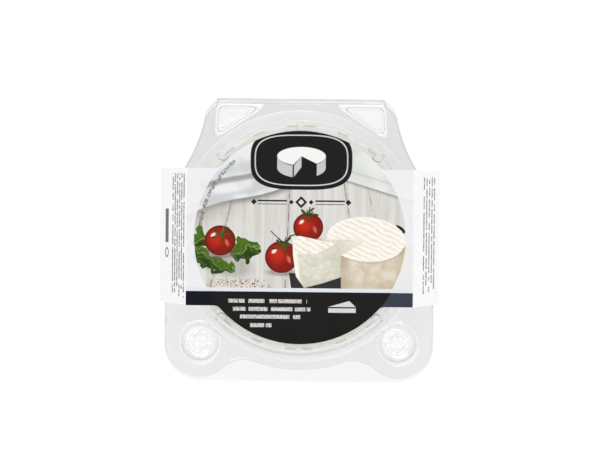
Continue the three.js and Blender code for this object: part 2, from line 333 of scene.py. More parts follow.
def pocket_radii():
    flat = [8, 16, 24, 30, 34, 36, 37, 37.8, 38.4, 38.8, 39.1]
    inner_edge = list(np.arange(39.25, 40.06, 0.1)) + [40.18]
    slots = [SLOT_R + k * 0.1 for k in (-3.2, -2.2, -1.2, 0, 1.2, 2.2, 3.2)]
    outer_edge = [41.2, 41.5, 41.8, 42.0, 42.2, 42.35, 42.5, 42.62, 42.72, 42.8, 42.86, 42.9]
    upright = [42.95, 43.02, 43.1, 43.18, 43.26, 43.34, 43.42, 43.55]
    wall = [43.8, 44.2, 44.7, 45.2, 45.6, 45.85]
    foot = [46.0, 46.12, 46.24, 46.36, 46.48, 46.6, 46.74, 46.88, 47.02, 47.2, DOME_EDGE_R]
    return np.array(flat + inner_edge + slots + outer_edge + upright + wall + foot)


def pocket_angles():
    """Even steps, with finer ones at the ends of the ridges and of their slots."""
    quarter = set(np.linspace(0, math.pi / 2, 61)[:-1])
    for offset in np.arange(-2.2, 3.0, 0.2):
        quarter.add(RIDGE_END - offset / RIDGE_OUTER_R)
    for k in range(3):
        for end in (-0.15, 0.0, 0.15):
            for half in (-SLOT_HALF_LENGTH, SLOT_HALF_LENGTH):
                quarter.add(SLOT_FIRST + k * SLOT_PITCH + (half + end) / SLOT_R)
    quarter = sorted(quarter)
    angles = []
    for k in range(4):
        start = math.pi / 2 * (k + 1)
        part = [math.pi / 2 - a for a in reversed(quarter)] if k % 2 else quarter
        angles += [start + a for a in part]
    return np.unique(np.round(np.mod(angles, 2 * math.pi), 6))


def pocket_patch(stud_profile):
    """Verts and faces of the round pocket, and its outermost ring in plan."""
    radii, angles = pocket_radii(), pocket_angles()
    r, theta = np.meshgrid(radii, angles, indexing="ij")
    xy = np.stack([r * np.cos(theta), r * np.sin(theta)], -1).reshape(-1, 2)
    verts = np.column_stack([xy, sheet_height(xy, stud_profile)]).tolist()
    count = len(angles)
    faces = ring_faces(len(radii), count)
    verts.append([0, 0, PLATEAU])
    hub = len(verts) - 1
    faces += [(hub, j, (j + 1) % count) for j in range(count)]
    ring = [tuple(p) for p in xy[-count:]]
    return verts, faces, ring


# ---- Case: the flange, a height over plan ----
STUD_LID = ((9.2, 0.55), (8.6, 0.55), (8.0, 0.58), (7.8, 0.68), (7.65, 0.8), (7.5, 0.83),
            (7.2, 0.83), (7.0, 0.8), (6.85, 0.7), (6.72, 0.5), (6.62, 0.2), (6.55, -0.2),
            (6.45, -0.8), (6.34, -1.3), (6.2, -1.75), (6.0, -2.15), (5.7, -2.5), (5.3, -2.78),
            (4.95, -2.93), (4.7, -3.0))
STUD_TRAY = ((9.2, 0.55), (8.6, 0.57), (8.3, 0.65), (8.1, 0.8), (7.95, 1.05), (7.85, 1.4),
             (7.75, 1.9), (7.6, 2.3), (7.35, 2.75), (7.0, 3.15), (6.55, 3.5), (6.1, 3.75),
             (5.6, 3.95), (5.1, 4.08), (4.7, 4.15))
STUD_FLOOR_RINGS = (4.3, 3.8, 3.2, 2.6, 2.0, 1.4, 0.8)
STUD_STAR_RELIEF = 0.22
BOSS_OFFSETS = (0.6, 0.3, 0.12, 0.0, -0.15, -0.3, -0.45, -0.6, -0.75, -0.9, -1.05, -1.2, -1.5)
CUT_EDGE, CUT_DROP = 0.35, 0.22


def boss_core(side):
    """The triangle of arc centres inside a rounded boss."""
    a, b, c = BOSS_CORNERS
    sides = ((b - c).length, (c - a).length, (a - b).length)
    centre = (a * sides[0] + b * sides[1] + c * sides[2]) / sum(sides)
    area = abs((b.x - a.x) * (c.y - a.y) - (c.x - a.x) * (b.y - a.y)) / 2
    shrink = 1 - BOSS_ROUNDING / (2 * area / sum(sides))
    return [(side * (centre + (p - centre) * shrink).x, (centre + (p - centre) * shrink).y)
            for p in BOSS_CORNERS]


def rounded_loop(core, radius, per_corner=9):
    """The outline at a distance from a convex polygon, corner by corner."""
    turning = sum((core[(i + 1) % 3][0] - core[i][0]) * (core[(i + 1) % 3][1] + core[i][1])
                  for i in range(3))
    if turning > 0:
        core = core[::-1]
    loop = []
    for i, p in enumerate(core):
        before, after = core[i - 1], core[(i + 1) % 3]
        start = math.atan2(p[1] - before[1], p[0] - before[0]) - math.pi / 2
        end = math.atan2(after[1] - p[1], after[0] - p[0]) - math.pi / 2
        if end < start:
            end += 2 * math.pi
        loop += arc(p, radius, start, end, per_corner)
    return densify(loop, 1.5)


def flange_height(xy, stud_profile):
    z = np.full(len(xy), FLANGE_TOP)
    x, y = xy[:, 0], xy[:, 1]
    for side in (-1, 1):
        core = boss_core(side)
        gap = polygon_distance(xy, core) - BOSS_ROUNDING
        slope = 0.8 + 0.2 * step(y, 37, 49)
        z += BOSS_HEIGHT * slope * step(-gap, -0.12, 0.8)
        rho = np.hypot(x - side * STUD.x, y - STUD.y)
        angle = np.arctan2(y - STUD.y, x - side * STUD.x)
        radii = [p[0] for p in stud_profile][::-1]
        heights = [p[1] for p in stud_profile][::-1]
        star = STUD_STAR_RELIEF * (0.5 + 0.5 * np.cos(6 * angle)) * step(rho, 0.3, 2.6)
        star *= step(rho, STUD_FLOOR_R, 3.4)
        z = np.where(rho < STUD_OUTER_R, np.interp(rho, radii, heights) + star, z)
    away = step(np.hypot(x, y), DOME_EDGE_R, DOME_EDGE_R + 4) * step(np.abs(y - BACK_Y), 0.2, 3)
    wave = 0.05 * np.sin(0.21 * x + 1.3) * np.sin(0.17 * y + 0.4) + 0.03 * np.sin(0.45 * x - 0.3 * y)
    z += wave * away
    z -= 0.22 * np.exp(-(((y - BACK_Y + 0.9) / 0.22) ** 2)) * (np.abs(x) < HINGE_HALF)
    return z


def inset_loop(loop, distance):
    """A clockwise outline moved inwards, leaving out the stretch along the hinge."""
    moved = []
    for i, p in enumerate(loop):
        before, after = Vector(loop[i - 1]), Vector(loop[(i + 1) % len(loop)])
        along = (after - before).normalized()
        moved.append((p[0] + along.y * distance, p[1] - along.x * distance))
    return [p for p in moved if p[1] < BACK_Y - 1.0]


def flange_patch(outline, ring, stud_profile):
    """The flat sheet between the outline and the pocket, with its bosses and studs."""
    edge = densify(outline, 1.6)
    loops = [edge, inset_loop(edge, CUT_EDGE), inset_loop(edge, CUT_EDGE + 0.15), ring]
    for side in (-1, 1):
        core = boss_core(side)
        loops += [rounded_loop(core, BOSS_ROUNDING + o) for o in BOSS_OFFSETS]
        centre = (side * STUD.x, STUD.y)
        for rho in [p[0] for p in stud_profile] + list(STUD_FLOOR_RINGS):
            count = 48 if rho > 3 else 24
            loops.append(arc(centre, rho, 0, 2 * math.pi, count + 1)[:-1])
    points, edges = [], []
    for loop in loops:
        start = len(points)
        points += loop
        edges += [(start + i, start + (i + 1) % len(loop)) for i in range(len(loop))]
    rows = [BACK_Y - d for d in (0.3, 0.55, 0.75, 0.9, 1.05, 1.25, 1.5)]
    steps = np.arange(-HINGE_HALF + 1.2, HINGE_HALF - 1, 1.6)
    points += [(x, y) for y in rows for x in steps]
    grid = [(x, y) for x in np.arange(-50, 50.1, 2.2) for y in np.arange(-54, 50, 2.2)]
    grid = np.array(grid)
    keep = (polygon_distance(grid, outline) < -0.8) & (np.hypot(*grid.T) > DOME_EDGE_R + 0.8)
    keep &= grid[:, 1] < BACK_Y - 2
    for side in (-1, 1):
        keep &= np.hypot(grid[:, 0] - side * STUD.x, grid[:, 1] - STUD.y) > 9.8
        gap = polygon_distance(grid, boss_core(side)) - BOSS_ROUNDING
        keep &= (gap > 1.6) | (gap < -2.0)
    points += [tuple(p) for p in grid[keep]]
    xy, faces = fill(points, edges, outline, ring)
    z = sheet_height(xy, stud_profile)
    rim = np.maximum(polygon_distance(xy, outline) + CUT_EDGE, 0) / CUT_EDGE
    z -= CUT_DROP * rim * step(BACK_Y - xy[:, 1], 0.1, 0.6)
    return np.column_stack([xy, z]).tolist(), faces


def case_half(name, outline, stud_profile, materials, flip_z):
    verts, faces, ring = pocket_patch(stud_profile)
    flange_verts, flange_faces = flange_patch(outline, ring, stud_profile)
    shift = len(verts)
    verts += flange_verts
    faces += [tuple(i + shift for i in f) for f in flange_faces]
    piece = make_object(name, verts, faces, materials, flip_z)
    middles = np.array([face.center.xy for face in piece.data.polygons]) / MM - (0, AXIS_Y)
    on_edge = polygon_distance(middles, outline) > -CUT_EDGE * 0.9
    for face, edge in zip(piece.data.polygons, on_edge):
        face.material_index = 1 if edge and face.center.y < (BACK_Y + AXIS_Y - 0.5) * MM else 0
    return thicken(piece, WALL, 0, 1)


def hinge_strip(material):
    """The folded edge: a half-round bead with the slit between the two plies inside it."""
    centre_y = HINGE_Y - FLANGE_TOP
    around = 11
    outer = arc((centre_y, 0), FLANGE_TOP, -math.pi / 2, math.pi / 2, around)
    inner = arc((centre_y, 0), HALF_GAP, math.pi / 2, -math.pi / 2, around)
    section = outer + inner
    count = len(section)
    stations = np.linspace(-HINGE_HALF, HINGE_HALF, 41)
    verts = [(x, y, z) for x in stations for y, z in section]
    faces = [tuple(reversed(face)) for face in ring_faces(len(stations), count)]
    last = (len(stations) - 1) * count
    for i in range(around - 1):
        cap = (i, count - 1 - i, count - 2 - i, i + 1)
        faces.append(cap)
        faces.append(tuple(last + j for j in reversed(cap)))
    piece = make_object("hinge_fold", verts, faces, [material])
    piece.data.set_sharp_from_angle(angle=math.radians(50))
    return piece


# ---- Cheese ----
def cheese_body(material):
    """The wheel, with the marks of its draining mat and the soft creases of its rind."""
    top_r, edge_r, full_r = 41.9, 5.2, 43.0
    half = (CHEESE_HIGH.z - CHEESE_LOW.z) / 2
    middle_z = (CHEESE_HIGH.z + CHEESE_LOW.z) / 2 - MID_Z
    flat_r = top_r - edge_r
    straight = half - edge_r
    profile = [(r, half) for r in np.arange(0.7, flat_r, 0.7)]
    profile += arc((flat_r, straight), edge_r, math.pi / 2, 0, 13)
    for t in np.linspace(1, -1, 29)[1:-1]:
        profile.append((top_r + (full_r - top_r) * (1 - t * t), t * straight))
    profile += arc((flat_r, -straight), edge_r, 0, -math.pi / 2, 13)
    profile += [(r, -half) for r in np.arange(0.7, flat_r, 0.7)[::-1]]
    around = 288
    turns = np.linspace(0, 2 * math.pi, around, endpoint=False)
    verts = [(0.0, 0.0, half)]
    verts += [(r * math.cos(a), r * math.sin(a), z) for r, z in profile for a in turns]
    verts.append((0.0, 0.0, -half))
    low = len(verts) - 1
    faces = [(0, 1 + j, 1 + (j + 1) % around) for j in range(around)]
    faces += ring_faces(len(profile), around, 1)
    last = 1 + (len(profile) - 1) * around
    faces += [(low, last + (j + 1) % around, last + j) for j in range(around)]
    dented = []
    for x, y, z in verts:
        r = math.hypot(x, y)
        outward = Vector((x, y, 0)) / max(r, 1e-6)
        lean = min(max((r - flat_r) / edge_r, 0), 1)
        up = math.copysign(1, z)
        face = min(max((abs(z) - straight) / edge_r, 0), 1)
        normal = (outward * lean + Vector((0, 0, up)) * face).normalized()
        spot = Vector((x, y, z))
        soft = noise.fractal(spot * 0.045, 1.0, 2.0, 3)
        crease = noise.fractal(Vector((x * 0.20, y * 0.20, z * 0.55)), 0.8, 2.1, 5)
        fold = noise.fractal(Vector((x * 0.10, y * 0.10, z * 0.03 + 7)), 1.0, 2.0, 2)
        mat_line = math.sin((x * 0.5 + y * 0.87) * 2.1 + 2.5 * soft)
        dent = 0.24 + 0.20 * soft + 0.20 * abs(crease) + 0.16 * abs(fold) * (1 - face)
        dent += (0.12 * max(mat_line, 0) ** 2) * face * (1 - lean)
        dented.append(spot - normal * max(dent, 0.02) + Vector((0, 0, middle_z)))
    return make_object("cheese", [tuple(v) for v in dented], faces, [material])


# ---- Card sleeve ----
RISE = math.atan2(FRONT_Z, CARD_SIDE_X - FOLD_X)
FOLD_R, SIDE_FOLD_R = 0.9, 0.6
SIDE_TURN = math.pi / 2 - RISE
FOLD_CUT = FOLD_R * math.tan(RISE / 2)
SIDE_CUT = SIDE_FOLD_R * math.tan(SIDE_TURN)
WING = math.hypot(FRONT_Z, CARD_SIDE_X - FOLD_X)
PANEL_END = FOLD_X - FOLD_CUT
FOLD_END = PANEL_END + FOLD_R * RISE
WING_END = FOLD_END + WING - FOLD_CUT - SIDE_CUT
CARD_END = WING_END + SIDE_FOLD_R * SIDE_TURN
TAB_CURL = 0.3
FOLD_COLUMNS = (PANEL_END, (PANEL_END * 2 + FOLD_END) / 3, (PANEL_END + FOLD_END * 2) / 3, FOLD_END,
                WING_END, (WING_END + CARD_END) / 2, CARD_END)


def fold_card(u):
    """Distance along the card from its middle line to (x, z) on its outside."""
    side, u = math.copysign(1, u), abs(u)
    if u <= PANEL_END:
        return side * u, FRONT_Z
    if u <= FOLD_END:
        turn = (u - PANEL_END) / FOLD_R
        return (side * (PANEL_END + FOLD_R * math.sin(turn)), FRONT_Z - FOLD_R * (1 - math.cos(turn)))
    down = u - FOLD_END + FOLD_CUT
    if u <= WING_END:
        return side * (FOLD_X + down * math.cos(RISE)), FRONT_Z - down * math.sin(RISE)
    down = WING - SIDE_CUT
    start_x = FOLD_X + down * math.cos(RISE)
    start_z = FRONT_Z - down * math.sin(RISE)
    centre_x = start_x - SIDE_FOLD_R * math.sin(RISE)
    centre_z = start_z - SIDE_FOLD_R * math.cos(RISE)
    lean = math.pi / 2 - RISE - (u - WING_END) / SIDE_FOLD_R
    z = (centre_z + SIDE_FOLD_R * math.sin(lean)) if u < CARD_END - 1e-6 else 0.0
    return side * (centre_x + SIDE_FOLD_R * math.cos(lean)), z


def card_outline():
    """One face of the card laid flat: a disc with a strap to each side."""
    join = math.asin((STRAP_HALF + 0.7) / DISC_R)
    corner = (DISC_R * math.cos(join), DISC_R * math.sin(join))
    upper = arc((0, 0), DISC_R, math.pi / 2, join, 40)
    upper += curve_through(corner, (corner[0] + 0.8, STRAP_HALF), (corner[0] + 2.2, STRAP_HALF), 6)[1:]
    upper += [(u, STRAP_HALF) for u in FOLD_COLUMNS]
    lower = [(x, -y) for x, y in reversed(upper)]
    return densify(mirrored(upper + lower), 1.8)


def card_face():
    """Plan points (u, v) and triangles of the front of the sleeve, before it is folded."""
    outline = card_outline()
    points = list(outline)
    edges = [(i, (i + 1) % len(outline)) for i in range(len(outline))]
    rows = np.arange(-STRAP_HALF + 1.5, STRAP_HALF - 1, 1.6)
    for side in (-1, 1):
        points += [(side * u, v) for u in FOLD_COLUMNS[:-1] for v in rows]
    grid = np.array([(u, v) for u in np.arange(-54, 54.1, 1.8) for v in np.arange(-37.8, 38, 1.8)])
    keep = polygon_distance(grid, outline) < -0.7
    for u in FOLD_COLUMNS:
        keep &= np.abs(np.abs(grid[:, 0]) - u) > 0.7
    points += [tuple(p) for p in grid[keep]]
    return fill(points, edges, outline)


def card_sleeve(front, wings, board):
    """The closed band, front and back alike, with the free ends of its discs a little sprung."""
    plan, faces = card_face()
    verts = []
    for u, v in plan:
        x, z = fold_card(u)
        free = step(abs(v), STRAP_HALF - 6, DISC_R) * step(abs(u), 40, 20)
        bow = 0.10 * math.cos(min(abs(u) / PANEL_END, 1) * math.pi / 2)
        ripple = 0.05 * math.sin(0.13 * u + 0.6) * math.sin(0.16 * v)
        flat = step(abs(u), FOLD_END, PANEL_END - 5)
        verts.append((x, v, z + TAB_CURL * free + (bow + ripple) * flat))
    count = len(verts)
    verts += [(x, y, -z) for x, y, z in verts]
    faces += [tuple(i + count for i in reversed(f)) for f in faces]
    piece = make_object("sleeve", verts, faces, [front, wings, board])
    for face in piece.data.polygons:
        ahead = face.center.z > MID_Z * MM and abs(face.center.x) < FOLD_END * MM
        face.material_index = 0 if ahead else 1
    return thicken(piece, CARD, 2, 2)


# ---- Shading fields ----
class Field:
    """A number or a vector at every point of a surface: a node socket that can be reckoned with."""

    def __init__(self, tree, socket):
        self.tree, self.socket = tree, socket

    def node(self, kind, *values, out=0, **settings):
        made = self.tree.nodes.new("ShaderNode" + kind)
        for key, value in settings.items():
            setattr(made, key, value)
        for socket, value in zip(made.inputs, values):
            join(self.tree, socket, value)
        return Field(self.tree, made.outputs[out])

    def math(self, operation, *values):
        return self.node("Math", *values, operation=operation)

    def __add__(self, other):
        return self.math("ADD", self, other)

    def __sub__(self, other):
        return self.math("SUBTRACT", self, other)

    def __rsub__(self, other):
        return self.math("SUBTRACT", other, self)

    def __mul__(self, other):
        return self.math("MULTIPLY", self, other)

    def __truediv__(self, other):
        return self.math("DIVIDE", self, other)

    def __pow__(self, other):
        return self.math("POWER", self, other)

    def abs(self):
        return self.math("ABSOLUTE", self)

    def most(self, other):
        return self.math("MAXIMUM", self, other)

    def dot(self, axis):
        return self.node("VectorMath", self, axis, out=1, operation="DOT_PRODUCT")

    def xyz(self):
        return [self.node("SeparateXYZ", self, out=i) for i in range(3)]

    def local(self, centre, size=(1, 1), turn=0):
        """x and y in a patch's own units: centred, turned (degrees) and divided by its size."""
        c, s = math.cos(math.radians(turn)), math.sin(math.radians(turn))
        axes = ((c / size[0], s / size[0], 0), (-s / size[1], c / size[1], 0))
        return [self.dot(axis) - (axis[0] * centre[0] + axis[1] * centre[1]) for axis in axes]

    def stretched(self, scale, turn=0, shift=(0, 0, 0)):
        """This place turned, scaled along each axis and shifted, for a drawn-out noise."""
        return self.node("Mapping", self, shift, (0, 0, math.radians(turn)), scale)

    def ramp(self, low, high, start=0.0, end=1.0):
        """Smoothly from start to end as this goes from low to high; low may be the larger."""
        if low > high:
            low, high, start, end = high, low, end, start
        return self.node("MapRange", self, low, high, start, end, interpolation_type="SMOOTHSTEP")

    def noise(self, scale, detail=3.0, rough=0.5, distortion=0.0):
        made = add_node(self.tree, "TexNoise", Vector=self, Scale=scale, Detail=detail,
                        Roughness=rough, Distortion=distortion)
        return Field(self.tree, made.outputs[0])

    def cells(self, scale, out="Distance"):
        made = add_node(self.tree, "TexVoronoi", Vector=self, Scale=scale)
        return Field(self.tree, made.outputs[out])

    def mix(self, a, b):
        """Colour a where this is 0, b where it is 1; each a field or an (r, g, b) of 0-255."""
        made = self.tree.nodes.new("ShaderNodeMix")
        made.data_type = "RGBA"
        join(self.tree, made.inputs[0], self)
        for socket, value in ((made.inputs[6], a), (made.inputs[7], b)):
            join(self.tree, socket, value if isinstance(value, Field) else ink(*value))
        return Field(self.tree, made.outputs[2])


def join(tree, socket, value):
    """Sets an input, or links it to a field."""
    if isinstance(value, Field):
        tree.links.new(value.socket, socket)
    else:
        socket.default_value = value


def add_node(tree, kind, **inputs):
    """A shader node with its inputs given by name."""
    made = tree.nodes.new("ShaderNode" + kind)
    for name, value in inputs.items():
        join(tree, made.inputs[name.replace("_", " ")], value)
    return made


def bumped(tree, height, strength, depth):
    """The normals of a height field, its depth in mm."""
    bump = add_node(tree, "Bump", Strength=strength, Distance=depth * MM, Height=height)
    return Field(tree, bump.outputs[0])


def mixed(tree, share, a, b, output):
    """Shader a where the share is 0 and b where it is 1, on a material's or world's output."""
    both = add_node(tree, "MixShader", Fac=share)
    tree.links.new(a.outputs[0], both.inputs[1])
    tree.links.new(b.outputs[0], both.inputs[2])
    tree.links.new(both.outputs[0], output.inputs["Surface"])


def ink(r, g, b):
    """A printed or natural colour, from 0-255 screen values to the linear colour of a shader."""
    linear = [(c / 255 / 12.92 if c < 10.3 else ((c / 255 + 0.055) / 1.055) ** 2.4) for c in (r, g, b)]
    return (*linear, 1.0)


def new_material(name):
    """A material with an empty tree, its output, and the object's coordinates in mm."""
    material = bpy.data.materials.new(name)
    material.use_nodes = True
    tree = material.node_tree
    tree.nodes.clear()
    output = tree.nodes.new("ShaderNodeOutputMaterial")
    place = Field(tree, add_node(tree, "TexCoord").outputs["Object"])
    spot = place.stretched((1 / MM,) * 3, 0, (0, -AXIS_Y, -MID_Z))
    return material, tree, output, spot


def principled(tree, output, colour, roughness, height=None, depth=0.1, **inputs):
    """The usual shader, its bump in mm taken from a height field."""
    if height is not None:
        inputs["Normal"] = bumped(tree, height, 1.0, depth)
    shader = add_node(tree, "BsdfPrincipled", Base_Color=colour, Roughness=roughness, **inputs)
    tree.links.new(shader.outputs[0], output.inputs["Surface"])


# ---- Materials ----
PLASTIC_FLAT, PLASTIC_EDGE = (249, 249, 249), (238, 239, 240)
CUT_FLAT, CUT_SIDE = (241, 242, 242), (196, 198, 200)
FOLD_FLAT, FOLD_SIDE = (238, 239, 240), (140, 142, 145)
PAD_RIPPLE, FROST = 0.35, 0.03
# Painted dark lines standing in for the shade along pressed edges, and the rosette of such lines on each
# stud's floor (radius, swing, phase).
PAINTED_LINE_SHADE = (222, 224, 223)
ROSETTE = ((3.1, 0.45, 0), (2.9, 0.45, math.pi), (4.6, 0.12, 0.8))  # radius, swing, phase
PLASTIC_MIRROR, PLASTIC_GRAZING = 0.04, 0.25


def boss_gap(x, y):
    """Distance outside a boss's rounded triangle, less than 0 inside it."""
    gap = None
    corners = BOSS_CORNERS[::-1]
    for a, b in zip(corners, corners[1:] + corners[:1]):
        away = Vector((b.y - a.y, a.x - b.x)).normalized()
        side = x * away.x + y * away.y - away.dot(a)
        gap = side if gap is None else gap.math("SMOOTH_MAX", gap, side, 2.0 * BOSS_ROUNDING)
    return gap


def ridge_marks(x, y, z):
    """Painted dark lines where a stacking ridge ends and along the slots in it, and a painted highlight
    just inside each ridge end.
    """
    high = z.abs().ramp(PLATEAU - 2.15, PLATEAU - 0.75)
    centre_r = RIDGE_INNER_R + RIDGE_CORNER_R
    turn = RIDGE_END - RIDGE_CORNER_R / centre_r
    beyond = x * math.cos(turn) - y.abs() * math.sin(turn)
    outward = x * math.sin(turn) + y.abs() * math.cos(turn) - centre_r
    reach = distance(beyond, outward)
    end = below((reach - RIDGE_CORNER_R - 0.35).abs(), 0.22, 0.14) * beyond.ramp(-1.6, -0.4) * high
    angle = x.math("ARCTAN2", x, y.abs())
    from_slot = angle.math("PINGPONG", angle - SLOT_FIRST, SLOT_PITCH / 2) * SLOT_R
    slot = below((distance(x, y) - SLOT_R).abs(), SLOT_HALF_WIDTH, 0.12)
    slot = slot * below(from_slot, SLOT_HALF_LENGTH, 0.2) * below(angle, RIDGE_END - 0.05, 0.01)
    glint = below((reach - RIDGE_CORNER_R + 0.3).abs(), 0.28, 0.2) * beyond.ramp(-1.6, -0.4) * high
    return end.most(slot * 0.8), glint


def stud_marks(x, y, z, rho):
    """Painted dark lines at the foot of a stud's wall, and a painted rosette of faint dark lines on its
    floor.
    """
    # Painted shade: the line at the wall's foot is darker on the stud's lower side.
    below_middle = (y - STUD.y).ramp(5, -6, 0.35, 1.0)
    wall = below((rho - STUD_MOUTH_R).abs(), 0.15, 0.14) * below_middle * below(z.abs(), 0.9, 0.3)
    angle = y.math("ARCTAN2", y - STUD.y, x - STUD.x) * 4
    petals = None
    for radius, swing, phase in ROSETTE:
        loop = below((rho - radius - angle.math("COSINE", angle + phase) * swing).abs(), 0.08, 0.14)
        petals = loop if petals is None else petals.most(loop)
    return (wall * 0.9).most(petals * 0.22)


def clear_plastic(name, flat, edge):
    """Clear sheet: dimmer at a glancing look; whiter on studs and pads, partly as thinner sheet and partly
    as painted highlight; painted paler towards the front; with painted dark lines along its pressed edges
    and a painted highlight in each ridge end.
    """
    material, tree, output, spot = new_material(name)
    x, y, z = spot.xyz()
    x = x.abs()
    pad_gap = boss_gap(x, y)
    rho = distance(x - STUD.x, y - STUD.y)
    pads = below(pad_gap, 0.25, 0.25)
    ridge_line, glint = ridge_marks(x, y, z)
    # Painted highlight: a bright ring round each stud's lip. Stud floors and pads are whiter, partly as
    # thinner sheet and partly as painted highlight.
    halo = below((rho - STUD_LIP_R).abs(), 0.35, 0.35) * 0.8
    thin = rho.ramp(6.3, 4.9).most(pads * 0.85).most(halo)
    lines = ridge_line.most(stud_marks(x, y, z, rho))
    # Painted dark lines inside each pad, standing in for the shade along its pressed edges.
    lines = lines.most(below((pad_gap + 0.55).abs(), 0.12, 0.14) * 0.35)
    lines = lines.most(below((pad_gap + 1.35).abs(), 0.05, 0.14) * 0.2)
    # Painted light: the sheet is paler towards the front of the case and over the whole round pocket.
    front = y.ramp(5, -30).most(distance(x, y).ramp(DOME_EDGE_R - 0.4, DOME_EDGE_R - 1.9) * 0.6)

    ripple = spot.stretched((0.8, 1.6, 1)).noise(0.30, 2.0)
    waves = spot.noise(0.09, 2.0) * 0.6 + spot.noise(0.6, 2.0) * 0.05 + ripple * pads * PAD_RIPPLE
    frost = thin * spot.noise(0.9, 3.0).ramp(0.35, 0.6, 0.5, 1.0) * FROST
    normal = bumped(tree, waves, 0.6, 0.5)
    glance = Field(tree, add_node(tree, "LayerWeight", Blend=0.5, Normal=normal).outputs["Facing"])
    # The tint is whitened where light is painted: towards the front, on the studs and pads (also thinner
    # there), and in each ridge end's painted highlight.
    sheet = (front * 0.45).most(thin).most(glint).mix(flat, (255, 255, 255))
    # Painted light: the glancing tint is paler towards the front and on each stud.
    paler = (front * 0.4).most(rho.ramp(STUD_OUTER_R + 0.2, STUD_LIP_R + 0.4) * 0.7)
    side = paler.mix(edge, (255, 255, 255))
    # Painted dark lines over the tint, standing in for the shade along pressed edges: ridge ends, slots,
    # stud walls, stud rosettes and pads.
    sheet = lines.mix((glance ** 4.0).mix(sheet, side), PAINTED_LINE_SHADE)
    through = add_node(tree, "BsdfTransparent", Color=sheet)
    gloss = add_node(tree, "BsdfGlossy", Roughness=frost * 1.2 + 0.07, Normal=normal)
    mirror = (glance ** 5.0) * PLASTIC_GRAZING + frost + thin.ramp(0, 1, PLASTIC_MIRROR, 0.012)
    mixed(tree, mirror, through, gloss, output)
    return material


def bloomy_rind():
    """White bloom over a cream rind, with ochre where the bloom has worn thin."""
    material, tree, output, spot = new_material("rind")
    wide = spot.noise(0.06, 4.0, 0.6, 1.5)
    patch = spot.noise(0.35, 5.0, 0.6)
    fine = spot.noise(2.2, 4.0, 0.6)
    grain = spot.cells(1.4)
    colour = patch.ramp(0.35, 0.7).mix((248, 246, 241), (253, 252, 250))
    colour = wide.ramp(0.50, 0.72).mix(colour, (244, 239, 227))
    worn = (spot.noise(0.4, 5.0, 0.7, 0.8) + fine * 0.2).ramp(0.64, 0.78)
    colour = (worn * 0.4).mix(colour, (222, 204, 172))
    height = patch * 0.5 + fine * 0.35 + grain * 0.25
    principled(tree, output, colour, 0.78, height, 0.35,
               Subsurface_Weight=0.12, Subsurface_Radius=(0.004, 0.003, 0.002),
               Subsurface_Scale=0.3, Specular_IOR_Level=0.3)
    return material


def plain_board():
    """Grey-white inside of the card, with short fibres."""
    material, tree, output, spot = new_material("card_board")
    fibres = spot.stretched((1, 4, 1), 20).noise(1.1, 5.0, 0.65)
    specks = spot.noise(3.1, 2.0)
    colour = fibres.ramp(0.35, 0.7).mix((206, 202, 194), (226, 223, 216))
    colour = (specks.ramp(0.68, 0.76) * 0.5).mix(colour, (176, 168, 156))
    principled(tree, output, colour, 0.85, fibres + specks * 0.5, 0.03)
    return material


# ---- The sleeve's print, in mm from the middle of the disc ----
PICTURE_R = 38.5
STRIP_TOP, STRIP_LOW = -18.4, -19.8
SEAM_PITCH, SEAM_START = 23.6, -28.1
VANISHING = 0.0085
WARP = 6.5
EDGE = 0.09
CARD_GLOSS = 0.12

PLANK_PALE, PLANK_DEEP, PLANK_SEAM = (219, 216, 210), (194, 190, 183), (88, 80, 78)
CLOTH_PALE, CLOTH_DEEP, CLOTH_SHADE = (232, 233, 234), (199, 201, 202), (128, 128, 122)
TOMATO_LIT, TOMATO_DEEP, TOMATO_DARK = (196, 40, 20), (134, 24, 13), (82, 13, 9)
STEM, LEAF_LIT, LEAF_DEEP, LEAF_VEIN = (42, 56, 22), (76, 108, 28), (34, 60, 15), (132, 158, 74)
RIND_PALE, RIND_WORN = (248, 244, 236), (230, 218, 200)
SIDE_PALE, SIDE_DEEP = (226, 215, 197), (202, 187, 163)
PASTE_PALE, PASTE_DEEP, SLATE = (230, 227, 213), (209, 205, 188), (30, 31, 33)
INK_BLACK, NAVY, NAVY_LIT, STRIP = (22, 22, 21), (13, 16, 26), (54, 61, 72), (222, 227, 232)
PAPER, WING_PAPER, FADED = (249, 249, 249), (241, 241, 241), (236, 236, 238)
GREEK_LIGHT, GREEK_DARK = (212, 212, 210), (66, 66, 68)


class Print:
    """Inks laid one over another."""

    def __init__(self, ground):
        self.colour = ground

    def lay(self, mask, colour, share=1.0):
        if share != 1.0:
            mask = mask * share
        self.colour = mask.mix(self.colour, colour)


def below(field, limit, soft=EDGE):
    """1 where a field is under a limit."""
    return field.ramp(limit + soft, limit - soft)


def above(field, limit, soft=EDGE):
    return field.ramp(limit - soft, limit + soft)


def between(field, low, high, soft=EDGE):
    return above(field, low, soft) * below(field, high, soft)


def distance(x, y):
    return (x * x + y * y) ** 0.5


def oval(spot, centre, size, turn=0, soft=EDGE):
    """1 inside an ellipse of these half-axes."""
    return below(distance(*spot.local(centre, size, turn)), 1, soft / min(size))


def rounded_box(spot, centre, size, power=6):
    """1 inside a box with rounded corners, given its half-sizes."""
    x, y = spot.local(centre, size)
    return below(x.abs() ** power + y.abs() ** power, 1, power * EDGE / min(size))


def polygon(spot, corners, soft=EDGE):
    """1 inside a convex polygon, corners given anticlockwise."""
    outside = None
    for i, a in enumerate(corners):
        b = corners[(i + 1) % len(corners)]
        long = math.dist(a, b)
        normal = ((b[1] - a[1]) / long, (a[0] - b[0]) / long, 0)
        gap = spot.dot(normal) - (normal[0] * a[0] + normal[1] * a[1])
        outside = gap if outside is None else outside.most(gap)
    return below(outside, 0, soft)


